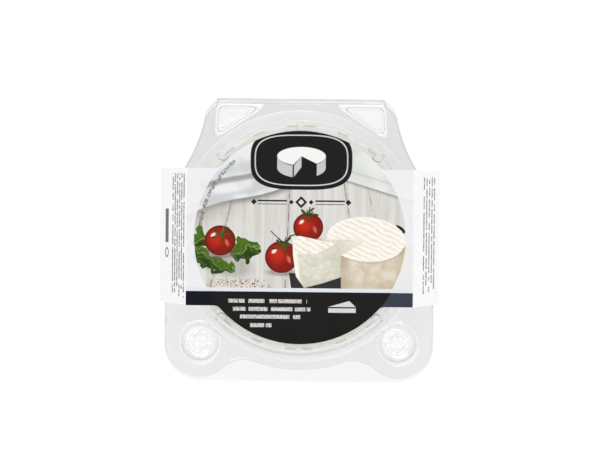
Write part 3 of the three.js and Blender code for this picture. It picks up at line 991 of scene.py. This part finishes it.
def line(spot, a, b, width, soft=EDGE):
    """1 along a straight stroke with rounded ends."""
    middle = ((a[0] + b[0]) / 2, (a[1] + b[1]) / 2)
    half = math.dist(a, b) / 2
    turn = math.degrees(math.atan2(b[1] - a[1], b[0] - a[0]))
    x, y = spot.local(middle, (1, 1), turn)
    beyond = (x.abs() - half).most(0.0)
    return below((beyond * beyond + y * y) ** 0.5, width / 2, soft)


def lay_planks(art, spot, x, y):
    """Bleached boards that run away from the viewer, with their grain and dark joints."""
    grain = spot.stretched((1, 0.05, 1), 2).noise(0.55, 6.0, 0.62, 0.6)
    streak = spot.stretched((1, 0.06, 1), -3).noise(2.4, 3.0, 0.7)
    wear = spot.noise(0.5, 3.0)
    across = x / (1 - y * VANISHING)
    joint = across.math("PINGPONG", across - SEAM_START, SEAM_PITCH / 2)
    art.lay((grain * 0.85 + streak * 0.15).ramp(0.36, 0.70), PLANK_DEEP, 0.7)
    art.lay(streak.ramp(0.62, 0.74), (150, 144, 140), 0.15)
    art.lay(below(joint, 0.16, 0.13) * wear.ramp(0.3, 0.6), PLANK_SEAM)
    art.lay(below(joint, 0.9, 0.9), (150, 142, 142), 0.22)
    art.lay(below((across - 29.0).abs(), 0.10, 0.08) * wear.ramp(0.4, 0.6), PLANK_SEAM)


def lay_cloths(art, spot):
    """A folded napkin at the upper left and the end of another at the upper right."""
    shade = spot.noise(0.10, 2.0).ramp(0.35, 0.65)
    along, over = spot.local((-21, 14), (1, 1), 17)
    over = over + along.math("SINE", along * 0.16) * 0.8
    ends = below(along, 19, 2)
    art.lay(over.ramp(-9.0, 0.5) * ends * along.ramp(6, -16), (150, 142, 132), 0.6)
    shadow = over.ramp(-2.6, 0.3) * below(over, 0.6, 0.4) * along.ramp(-16, 2, 0.45, 0.95)
    art.lay(shadow * ends, CLOTH_SHADE)
    cloth = above(over, 0.2, 0.3) * ends
    art.lay(cloth, shade.mix(CLOTH_PALE, CLOTH_DEEP))
    art.lay(cloth * between(over, 1.6, 3.0, 0.9), CLOTH_DEEP, 0.7)
    art.lay(cloth * between(over, 6.6, 8.4, 0.8) * above(along, -13, 2), CLOTH_SHADE, 0.75)
    art.lay(cloth * between(over, 8.0, 8.5, 0.3) * above(along, -13, 2), (104, 106, 104), 0.5)
    art.lay(cloth * between(over, 9.4, 12.5, 1.4), CLOTH_DEEP, 0.6)
    along, over = spot.local((25, 18.5), (1, 1), -17)
    ends = above(along, -9.5, 1.0)
    art.lay(over.ramp(-1.5, 0.1) * below(over, 0.3, 0.2) * ends, CLOTH_SHADE, 0.8)
    cloth = above(over, 0, 0.2) * ends
    art.lay(cloth, shade.mix((229, 231, 226), (214, 217, 212)))
    art.lay(cloth * between(over, 3.2, 3.9, 0.5), CLOTH_SHADE, 0.25)


def lay_leaf(art, ragged, centre, size, turn):
    x, y = ragged.local(centre, size, turn)
    mask = below(distance(x, y), 1, EDGE / size[1])
    ribs = x.math("SINE", x * 9 - y.abs() * 9).ramp(0.80, 0.99)
    art.lay(mask, y.ramp(-0.8, 0.9).mix(LEAF_DEEP, LEAF_LIT))
    art.lay(mask * ribs, LEAF_VEIN, 0.35)
    art.lay(mask * below(y.abs(), 0.07, 0.06), LEAF_VEIN, 0.8)


def lay_strokes(art, spot, colour, *strokes):
    for a, b, width in strokes:
        art.lay(line(spot, a, b, width), colour)


def lay_tomato(art, spot, centre, radius, stem_at):
    """A round tomato lit from the upper left, with a starry stem."""
    def part(right, up):
        return centre[0] + right * radius, centre[1] + up * radius

    art.lay(oval(spot, part(0.05, -0.93), (radius * 0.9, radius * 0.22), 0, 0.6), (120, 100, 96), 0.6)
    reach = distance(*spot.local(centre, (radius, radius * 0.97)))
    lit = distance(*spot.local(part(-0.25, 0.15), (radius, radius)))
    colour = lit.ramp(0.05, 0.85).mix(TOMATO_LIT, TOMATO_DEEP)
    art.lay(below(reach, 1, EDGE / radius), reach.ramp(0.80, 1.05).mix(colour, TOMATO_DARK))
    art.lay(oval(spot, part(-0.45, 0.35), (radius * 0.17, radius * 0.10), 40, 0.25), (255, 236, 228), 0.9)
    art.lay(oval(spot, part(0.45, -0.15), (radius * 0.1, radius * 0.22), 20, 0.3), (244, 140, 110), 0.5)
    top = part(*stem_at)
    x, y = spot.local(top, (radius * 0.78, radius * 0.50), 12)
    reach = distance(x, y)
    points = x.math("COSINE", y.math("ARCTAN2", y, x) * 5 + reach * 1.6 + 0.6) * 0.5 + 0.5
    art.lay(below(reach - (points ** 2.2) * 0.78, 0.20, 0.05), STEM)
    art.lay(below(reach - (points ** 5.0) * 0.70, 0.10, 0.05), (78, 98, 40), 0.8)
    art.lay(line(spot, top, part(stem_at[0] + 0.12, stem_at[1] + 0.46), 0.5), (86, 102, 46))


def lay_wheel(art, spot, x, y):
    """The cut wheel of cheese: its side, its ridged top and the gap the wedge left."""
    blotch = spot.noise(0.22, 3.0, 0.5)
    rough = spot.noise(1.3, 4.0, 0.6)
    side = below(y, -2.5) * above(x + (rough - 0.5) * 0.7, 14.9)
    art.lay(side, (blotch * 0.75 + rough * 0.25).ramp(0.36, 0.64).mix(SIDE_PALE, SIDE_DEEP))
    art.lay(side * x.ramp(19.5, 15.0), (170, 154, 130), 0.55)
    art.lay(side * x.ramp(33.0, 38.0), (186, 168, 140), 0.6)
    art.lay(side * y.ramp(-14, -19), (192, 176, 150), 0.5)
    reach = distance(*spot.local((24.15, -0.4), (14.3, 8.1), -4)) + (rough - 0.5) * 0.10
    face = below(reach, 1, 0.012)
    _, ridge = spot.local((24, 0), (1, 1), -26)
    marks = ridge.math("SINE", ridge * 3.6 + blotch * 9.0) * 0.5 + 0.5
    art.lay(below(reach, 1.07, 0.06) * below(y, -3), (176, 158, 130), 0.5)
    art.lay(face, (marks * 0.35 + rough * 0.65).ramp(0.40, 0.78).mix(RIND_PALE, RIND_WORN))
    art.lay(face * reach.ramp(0.84, 1.0), RIND_PALE, 0.6)
    gap = polygon(spot, ((9.0, -0.5), (15.2, -6.3), (23.0, -1.2), (22.6, -0.4)))
    art.lay(gap, rough.ramp(0.3, 0.7).mix(PASTE_PALE, PASTE_DEEP))
    art.lay(gap * x.ramp(14, 23), (244, 240, 228), 0.6)
    art.lay(line(spot, (15.2, -6.2), (22.9, -1.2), 0.25), (206, 200, 178), 0.7)
    art.lay(line(spot, (9.6, -0.4), (22.6, -0.4), 0.3), (240, 238, 226), 0.9)


def lay_wedge(art, spot, x, y):
    """The cut wedge in front of the wheel, on a slip of slate."""
    slate = polygon(spot, ((-3.9, -12.8), (-3.0, -18.6), (15.1, -18.6), (15.1, -14.2)))
    art.lay(slate, spot.noise(1.4, 4.0).mix(SLATE, (58, 58, 58)))
    rough = spot.noise(0.7, 5.0, 0.55)
    body = polygon(spot, ((-2.7, 0.3), (-2.4, -6.5), (-1.3, -14.1), (1.7, -18.3), (8.4, -16.5),
                          (14.7, -14.4), (14.9, -4.4), (13.3, -2.0)))
    holes = spot.cells(0.55).ramp(0.22, 0.12) * above(spot.noise(0.3, 2.0), 0.54, 0.03)
    art.lay(body, rough.ramp(0.30, 0.70).mix(PASTE_PALE, PASTE_DEEP))
    art.lay(body * holes, (168, 168, 136), 0.6)
    art.lay(body * x.ramp(9, 15), (190, 187, 166), 0.45)
    art.lay(body * below(x + y * 0.12, -1.6, 0.5), RIND_PALE, 0.9)
    art.lay(body * y.ramp(-12.5, -18.5), (182, 178, 156), 0.55)
    top = polygon(spot, ((-2.75, 0.35), (-2.0, -4.4), (-0.6, -6.1), (6.0, -5.9), (13.4, -2.1), (0.1, 0.6)))
    _, ridge = spot.local((0, 0), (1, 1), -30)
    marks = ridge.math("SINE", ridge * 3.4 + rough * 9.0) * 0.5 + 0.5
    art.lay(top, (marks * 0.35 + rough * 0.65).ramp(0.38, 0.76).mix(RIND_PALE, RIND_WORN))


def lay_seeds(art, spot):
    """A scatter of small seeds at the front of the table."""
    near = oval(spot, (-22.0, -17.4), (11.5, 2.2), 0, 1.3)
    chance = spot.node("SeparateColor", spot.cells(1.3, out="Color"))
    body = spot.cells(1.3).ramp(0.50, 0.34)
    colour = chance.ramp(0, 1).mix((190, 152, 104), (104, 78, 52))
    art.lay(body * above(near - chance * 0.85, 0.1, 0.04), colour)


def serving_picture(spot):
    """Table, napkins, tomatoes, leaves and a cut wheel of cheese."""
    x, y, _ = spot.xyz()
    art = Print(spot.noise(0.05, 2.0).mix(PLANK_PALE, (224, 223, 221)))
    lay_planks(art, spot, x, y)
    lay_cloths(art, spot)
    lay_seeds(art, spot)
    shift_x, shift_y = (spot.noise(0.34, 0.6) - 0.5), (spot.noise(0.39, 0.6) - 0.5)
    ragged = spot.node("CombineXYZ", x + shift_x * WARP, y + shift_y * WARP, 0.0)
    shadow = oval(spot, (-27.5, -9.5), (10.5, 4.6), -14, 1.6)
    art.lay(shadow, (132, 132, 118), 0.5)
    lay_leaf(art, ragged, (-36.4, -1.0), (3.6, 3.2), 30)
    lay_leaf(art, ragged, (-34.2, -8.0), (5.6, 3.0), -48)
    lay_leaf(art, ragged, (-28.6, -10.4), (5.6, 2.5), -24)
    lay_leaf(art, ragged, (-20.6, -4.7), (5.6, 4.1), 14)
    lay_tomato(art, spot, (-29.0, -1.3), 5.64, (0.1, 0.42))
    lay_tomato(art, spot, (3.0, 3.8), 5.45, (-0.02, 0.86))
    lay_strokes(art, spot, STEM, ((2.9, 8.2), (2.5, 10.1), 0.4), ((3.3, 8.0), (4.6, 9.5), 0.4),
                ((2.5, 8.0), (0.9, 9.2), 0.4))
    art.lay(oval(spot, (36.4, 3.4), (2.2, 1.0), -35), SLATE)
    lay_wheel(art, spot, x, y)
    lay_tomato(art, spot, (-6.6, -7.1), 6.0, (0.14, 0.72))
    lay_strokes(art, spot, STEM, ((-6.0, -2.0), (-7.8, -0.3), 0.55), ((-7.8, -0.3), (-10.6, 2.3), 0.35),
                ((-5.4, -2.2), (-3.4, 0.6), 0.6), ((-3.4, 0.6), (-0.6, 1.4), 0.45))
    lay_wedge(art, spot, x, y)
    return art


def small_print(spot, along, seed):
    """Broken-up ink along a line of unreadable print: words apart, letters a mottle."""
    words = spot.stretched((0.5 * along[0], 0.5 * along[1], 0), 0, (seed, 1.7 * seed, 0)).noise(1.0, 1.0)
    letters = spot.stretched((1.5, 1.5, 0), 0, (1.3 * seed, seed, 4)).noise(1.0, 1.0)
    return above(words, 0.41, 0.02) * letters.ramp(0.40, 0.56, 0.55, 1.0)


def lay_labels(art, spot, x, y, reach):
    """The dark foot of the panel, its strip and the places of the words in it."""
    art.lay(between(y, STRIP_LOW, STRIP_TOP), STRIP)
    foot = below(y, STRIP_LOW)
    art.lay(foot, x.ramp(-30, 34).mix(NAVY, NAVY_LIT))
    art.lay(foot * below(reach, 38.9, 0.06), INK_BLACK)
    for row, (start, end) in zip((-23.2, -26.1, -28.9, -32.0),
                                 ((-25.8, 2.8), (-24.1, 4.1), (-21.5, 0.4), (-17.8, -10.0))):
        letters = small_print(spot, (1, 0), row)
        art.lay(between(y, row - 0.7, row + 0.7) * between(x, start, end) * letters, GREEK_LIGHT)
    art.lay(polygon(spot, ((10.6, -27.2), (20.6, -27.2), (20.6, -25.6), (10.6, -25.6))), GREEK_LIGHT)
    art.lay(polygon(spot, ((10.6, -25.1), (20.6, -25.1), (18.2, -22.9))), GREEK_LIGHT)


def lay_plaque(art, spot):
    """A plain dark plaque with a fine border and a small cut wheel on it."""
    centre = (0.3, 28.1)
    art.lay(rounded_box(spot, centre, (18.5, 10.7), 3.2), INK_BLACK)
    art.lay(rounded_box(spot, centre, (17.0, 9.3), 3.2), (214, 216, 220))
    art.lay(rounded_box(spot, centre, (16.6, 8.9), 3.2), INK_BLACK)
    pale, side = (240, 240, 238), (196, 198, 200)
    top, low, wide, tall = (0.3, 29.6), (0.3, 25.4), 8.8, 3.7
    art.lay(oval(spot, low, (wide, tall)), side)
    left, right = top[0] - wide, top[0] + wide
    body = ((left, low[1]), (right, low[1]), (right, top[1]), (left, top[1]))
    art.lay(polygon(spot, body), side)
    art.lay(oval(spot, top, (wide, tall)), INK_BLACK)
    art.lay(oval(spot, top, (wide, tall - 0.35)), pale)
    near, far = (-2.9, 26.2), (5.9, 26.9)
    notch = (top, (near[0], near[1]), (near[0], near[1] - 5.8), (far[0], far[1] - 5.8), far)
    art.lay(polygon(spot, notch), INK_BLACK)
    cut = (top, (near[0] + 0.5, near[1]), (near[0] + 0.5, near[1] - 4.1), (0.3, 25.6))
    art.lay(polygon(spot, cut), side)


def lay_title_rule(art, spot):
    """Rules and lozenges, where a name would stand."""
    dark = (34, 34, 35)
    middle = (0.35, 12.9)
    for side in (-1, 1):
        def place(x, y):
            return middle[0] + side * x, middle[1] + y

        art.lay(line(spot, place(5.4, 0.45), place(15.6, 0.45), 0.6), dark)
        art.lay(line(spot, place(5.4, -0.75), place(15.6, -0.75), 0.25), dark)
        for x, size in ((3.6, 0.9), (17.2, 1.1)):
            art.lay(lozenge(spot, place(x, 0), size), dark)
    art.lay(lozenge(spot, middle, 2.2), dark)
    art.lay(lozenge(spot, middle, 1.1), PLANK_PALE)


def lozenge(spot, centre, size):
    x, y = spot.local(centre)
    return below(x.abs() + y.abs(), size)


def lay_rim_words(art, spot, x, y, reach):
    """Fine print on a curve along the upper left edge."""
    angle = y.math("ARCTAN2", y, x)
    words = angle.math("SINE", angle * 61) + angle.math("SINE", angle * 38.3 + 1)
    letters = spot.noise(1.6, 1.0).ramp(0.42, 0.56, 0.2, 1.0)
    sector = between(angle, 2.28, 3.08, 0.01)
    art.lay(between(reach, 35.9, 37.2) * sector * above(words, -1.1, 0.15) * letters, (84, 86, 88), 0.8)


def bare_paper(spot):
    """Bare coated paper, very slightly uneven."""
    return spot.noise(0.8, 3.0).ramp(0.3, 0.7).mix(WING_PAPER, (237, 237, 239))


def coated(tree, output, spot, colour):
    fine = spot.noise(1.6, 3.0)
    wear = spot.noise(0.15, 3.0).ramp(0.35, 0.7, 0.36, 0.46)
    principled(tree, output, colour, wear, fine, 0.008, Specular_IOR_Level=CARD_GLOSS)


def printed_front():
    """Coated card with the picture and its labels, the picture faded outside the disc."""
    material, tree, output, spot = new_material("printed_front")
    x, y, _ = spot.xyz()
    reach = distance(x, y)
    art = serving_picture(spot)
    art.lay(above(reach, PICTURE_R, 0.06), FADED, 0.86)
    lay_rim_words(art, spot, x, y, reach)
    lay_labels(art, spot, x, y, reach)
    lay_plaque(art, spot)
    lay_title_rule(art, spot)
    coated(tree, output, spot, art.colour)
    return material


WING_ROWS = {-1: (42.4, 43.3, 44.2, 45.1, 46.0, 46.9), 1: (45.6, 46.7, 47.8, 48.9, 49.9)}
WING_SPANS = {-1: (-22.5, 23.0), 1: (-20.5, 22.5)}


def printed_wings():
    """Coated card with small print on the wings, and a plain framed field behind."""
    material, tree, output, spot = new_material("printed_wings")
    x, y, z = spot.xyz()
    reach = distance(x, y)
    wing = Print(bare_paper(spot))
    for side, rows in WING_ROWS.items():
        low, high = WING_SPANS[side]
        for i, row in enumerate(rows):
            start = low + (3.1 * i * i) % 4
            mask = between(x * side, row - 0.24, row + 0.24, 0.05) * between(y, start, high)
            wing.lay(mask * small_print(spot, (0, 1), side * row), GREEK_DARK, 0.85)
    wing.lay(between(x, -50.0, -48.7, 0.06) * between(y, -2.5, 10.0), GREEK_DARK, 0.9)
    wing.lay(oval(spot, (-49.35, -6.2), (0.75, 1.9)), GREEK_DARK, 0.9)
    wing.lay(oval(spot, (-49.35, -6.2), (0.4, 1.3)), PAPER)
    back = Print(bare_paper(spot))
    back.lay(between(y.abs(), 19.8, 25.5) * below(x.abs(), FOLD_X), NAVY)
    back.lay(between(reach, 33.6, 34.0) * below(y.abs(), 19.0), GREEK_DARK, 0.6)
    for i, row in enumerate((12.2, 9.7, 7.2, 4.7, 2.2, -0.3, -2.8, -5.3, -7.8)):
        end = 24 - (7.3 * i * i) % 9
        mask = between(y, row - 0.55, row + 0.55) * between(x, -26, end)
        back.lay(mask * small_print(spot, (1, 0), row + 60), GREEK_DARK, 0.75)
    coated(tree, output, spot, below(z, 0.0).mix(wing.colour, back.colour))
    return material


# ---- The object ----
plastic = [clear_plastic("clear_plastic", PLASTIC_FLAT, PLASTIC_EDGE),
           clear_plastic("clear_plastic_cut", CUT_FLAT, CUT_SIDE)]
rind = bloomy_rind()
board = plain_board()

lid = case_half("case_lid", lid_outline(), STUD_LID, plastic, False)
tray = case_half("case_tray", tray_outline(), STUD_TRAY, plastic, True)
hinge = hinge_strip(clear_plastic("clear_plastic_fold", FOLD_FLAT, FOLD_SIDE))
cheese = cheese_body(rind)
sleeve = card_sleeve(printed_front(), printed_wings(), board)

PIECES = ((lid, "lid", "clear_plastic"), (tray, "tray", "clear_plastic"),
          (hinge, "live_hinge", "clear_plastic"), (cheese, "cheese_wheel", "rind"),
          (sleeve, "card_sleeve", "printed_card"))
for piece, node, finish in PIECES:
    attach(piece, "root")
    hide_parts(node)


# ---- Stage ----
def studio_floor():
    """A wide white table top, flat under the object."""
    material, tree, output, spot = new_material("floor_white")
    fine = spot.noise(0.4, 3.0)
    colour = fine.mix((108, 108, 108), (112, 112, 112))
    principled(tree, output, colour, 0.9, Specular_IOR_Level=0.0,
               Emission_Color=(1, 1, 1, 1), Emission_Strength=FLOOR_GLOW)
    half = 1.5
    corners = [(-half, -half), (half, -half), (half, half), (-half, half)]
    mesh = bpy.data.meshes.new("floor")
    mesh.from_pydata([(x, y, FLOOR_Z) for x, y in corners], [], [(0, 1, 2, 3)])
    mesh.materials.append(material)
    put("floor", mesh)


def sun(name, strength, spread, azimuth, elevation):
    lamp = bpy.data.lights.new(name, "SUN")
    lamp.energy = strength
    lamp.angle = math.radians(spread)
    away = Vector((math.cos(math.radians(azimuth)) * math.cos(math.radians(elevation)),
                   math.sin(math.radians(azimuth)) * math.cos(math.radians(elevation)),
                   math.sin(math.radians(elevation))))
    put(name, lamp).rotation_euler = away.to_track_quat("Z", "Y").to_euler()


def softbox(name, at, size, power):
    """A rectangular lamp that looks at the object."""
    lamp = bpy.data.lights.new(name, "AREA")
    lamp.shape = "RECTANGLE"
    lamp.size, lamp.size_y = size
    lamp.energy = power
    piece = put(name, lamp)
    piece.location = at
    piece.rotation_euler = (Vector(at) - Vector((0, 0, 0.018))).to_track_quat("Z", "Y").to_euler()


def surroundings(overhead, horizon, seen):
    """An even room that lights the object, grey above and pale low down, white where it is seen."""
    world = bpy.data.worlds.new("room")
    world.use_nodes = True
    tree = world.node_tree
    tree.nodes.clear()
    output = tree.nodes.new("ShaderNodeOutputWorld")
    height = Field(tree, add_node(tree, "TexCoord").outputs["Generated"]).xyz()[2]
    light = add_node(tree, "Background", Color=height.ramp(0.10, 0.60, horizon, overhead))
    backdrop = add_node(tree, "Background", Color=(seen, seen, seen, 1))
    from_camera = Field(tree, add_node(tree, "LightPath").outputs["Is Camera Ray"])
    mixed(tree, from_camera, light, backdrop, output)
    bpy.context.scene.world = world


def camera(tilt, roll, distance, aim_y, lens):
    """Nearly straight down on the pack, the hinge away from the viewer."""
    lens_data = bpy.data.cameras.new("camera")
    lens_data.lens = lens
    lens_data.clip_start, lens_data.clip_end = 0.01, 10
    piece = put("camera", lens_data)
    tilt, roll = math.radians(tilt), math.radians(roll)
    back = Vector((0, math.sin(tilt), math.cos(tilt)))
    up = Vector((math.sin(roll), math.cos(roll), 0))
    right = up.cross(back).normalized()
    up = back.cross(right)
    piece.location = Vector((0, aim_y, (FRONT_Z + MID_Z) * MM)) + back * distance
    piece.rotation_mode = "QUATERNION"
    piece.rotation_quaternion = Matrix((right, up, back)).transposed().to_quaternion()
    bpy.context.scene.camera = piece


FLOOR_Z = -0.0002
FLOOR_GLOW = 0.90
studio_floor()
sun("key", 1.10, 40, 100, 60)
sun("fill", 0.60, 50, -60, 52)
softbox("window", (-0.35, 0.45, 0.45), (0.5, 0.25), 0.15)
surroundings(0.45, 1.5, 1.0)
camera(tilt=1.12, roll=-0.6, distance=0.557, aim_y=AXIS_Y * MM + 0.0046, lens=91.9)
bpy.context.scene.view_settings.view_transform = "Standard"
